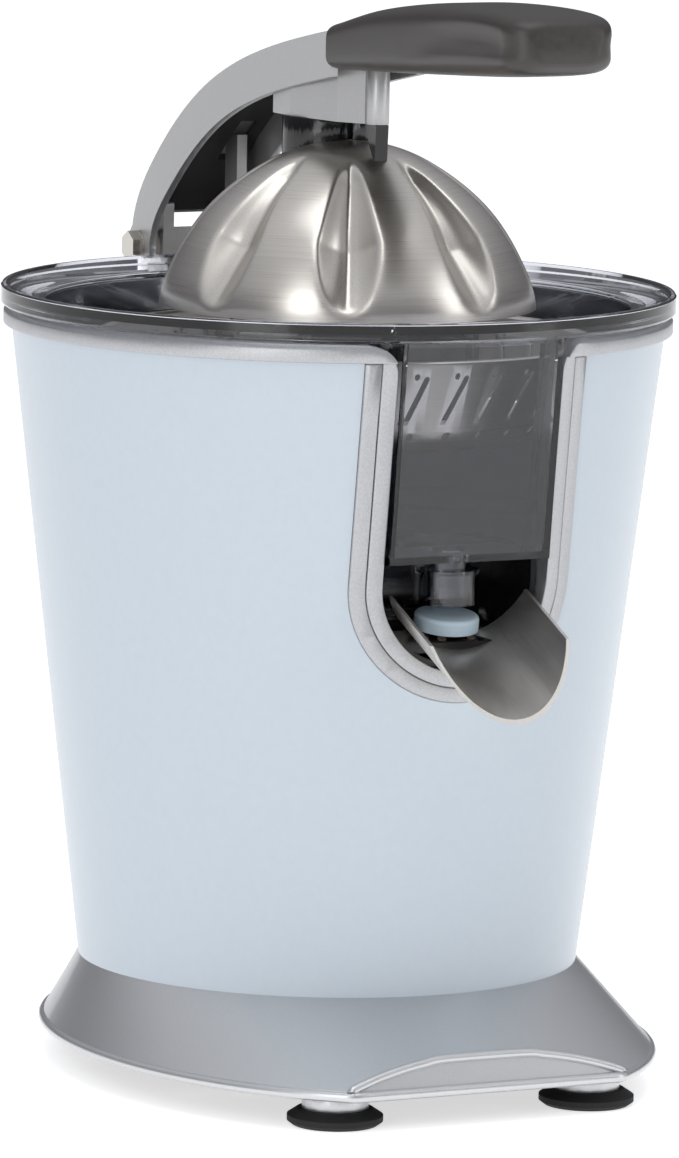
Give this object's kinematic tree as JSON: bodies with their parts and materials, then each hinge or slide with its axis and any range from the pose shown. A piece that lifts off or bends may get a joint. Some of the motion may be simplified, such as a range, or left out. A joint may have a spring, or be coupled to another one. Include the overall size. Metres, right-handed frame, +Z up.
{
  "type": "citrus press juicer",
  "caption": "Upright electric citrus press with a hinged lever arm, a fluted pressing dome, a ribbed cone over a strainer and a tilting drip-stop spout.",
  "frame": {"origin": "middle of the footprint, at the level that the feet stand on", "axes": "+Z up, -Y towards the spout and the end of the grip, +X to the right seen from the front"},
  "size_m": [0.215, 0.2783, 0.3485],
  "materials": {
    "silver_paint": "satin metallic paint",
    "black_plastic": "satin",
    "rubber_black": "matte",
    "shell_blue": "smooth satin paint",
    "silver_texture": "grained silver paint",
    "cast_silver": "painted casting, satin",
    "zinc_steel": "plated",
    "lamination": "stacked sheet",
    "copper": "enamelled wire",
    "bronze": "sintered",
    "gear_white": "moulded",
    "smoked_clear": "clear smoked plastic",
    "brushed_steel": "brushed",
    "cone_black": "satin",
    "silicone_blue": "matte silicone",
    "liner_grey": "fine grain",
    "grip_dark": "soft matte with a faint wood grain"
  },
  "bodies": {
    "body": {"base_skirt": "silver_paint", "base_plate": "black_plastic", "foot_collars": "silver_paint", "rubber_feet": "rubber_black", "skirt_screws": "zinc_steel", "base_screws": "zinc_steel", "cord_gland": "rubber_black", "body_shell": "shell_blue", "top_ring": "silver_texture", "u_trim": "silver_texture", "spout_chamber": "black_plastic", "deck": "black_plastic", "hinge_bracket": "cast_silver", "bracket_screws": "zinc_steel", "motor_stator": "lamination", "field_coils": "copper", "motor_bracket_top": "zinc_steel", "motor_bracket_low": "zinc_steel", "motor_bushes": "bronze", "motor_spacers": "black_plastic", "motor_bolts": "zinc_steel", "gearbox_case": "black_plastic", "gearbox_cover": "black_plastic", "gearbox_screws": "zinc_steel", "output_bushes": "bronze", "lay_pin": "zinc_steel", "snout_bush": "bronze", "shaft_seal": "rubber_black", "start_switch": "black_plastic", "switch_screws": "zinc_steel", "juice_tank": "smoked_clear", "strainer": "brushed_steel", "spout_rod": "zinc_steel", "hinge_bolt": "zinc_steel", "hinge_nut": "zinc_steel", "steel_washers": "zinc_steel", "ear_spacers": "gear_white"},
    "arm": {"lever_arm": "cast_silver", "arm_liner": "liner_grey", "grip": "grip_dark", "grip_screws": "zinc_steel", "press_dome": "brushed_steel", "dome_hub": "black_plastic", "dome_plate": "zinc_steel", "dome_screws": "zinc_steel", "dome_catch": "black_plastic"},
    "rotor": {"motor_rotor": "lamination", "motor_pinion": "bronze", "cooling_fan": "black_plastic"},
    "layshaft": {"compound_gear": "gear_white"},
    "output": {"output_gear": "gear_white", "return_spring": "zinc_steel"},
    "spindle": {"drive_shaft": "zinc_steel", "shaft_clip": "zinc_steel", "reamer_cone": "cone_black"},
    "spout": {"spout": "brushed_steel", "spout_carrier": "black_plastic", "stopper_pad": "silicone_blue", "spout_screws": "zinc_steel"},
    "plunger": {"switch_plunger": "gear_white"}
  },
  "joints": [
    {"name": "arm_lift", "type": "hinge", "parent": "body", "child": "arm", "pos_m": [0, 0.1309, 0.2515], "axis": [-1, 0, 0], "range_deg": [0, 78]},
    {"name": "rotor_spin", "type": "hinge", "parent": "body", "child": "rotor", "pos_m": [0, 0.0309, 0.09], "axis": [0, 0, 1], "continuous": true},
    {"name": "layshaft_spin", "type": "hinge", "parent": "body", "child": "layshaft", "pos_m": [0.03, 0.0309, 0.14], "axis": [0, 0, 1], "continuous": true},
    {"name": "output_spin", "type": "hinge", "parent": "body", "child": "output", "pos_m": [0, 0.0084, 0.147], "axis": [0, 0, 1], "continuous": true},
    {"name": "cone_press", "type": "slide", "parent": "output", "child": "spindle", "axis": [0, 0, -1], "range_m": [0, 0.0025], "stiffness_N_per_m": 1500, "springref_m": -0.004, "deforming": ["return_spring"]},
    {"name": "switch_travel", "type": "slide", "parent": "body", "child": "plunger", "axis": [0, 0, -1], "range_m": [0, 0.0025]},
    {"name": "spout_tilt", "type": "hinge", "parent": "body", "child": "spout", "pos_m": [0, -0.0461, 0.152], "axis": [-1, 0, 0], "range_deg": [0, 9]}
  ],
  "couplings": [
    {"joint": "layshaft_spin", "follows": "rotor_spin", "ratio": -0.2},
    {"joint": "output_spin", "follows": "rotor_spin", "ratio": 0.04},
    {"joint": "switch_travel", "follows": "cone_press", "ratio": 1}
  ]
}
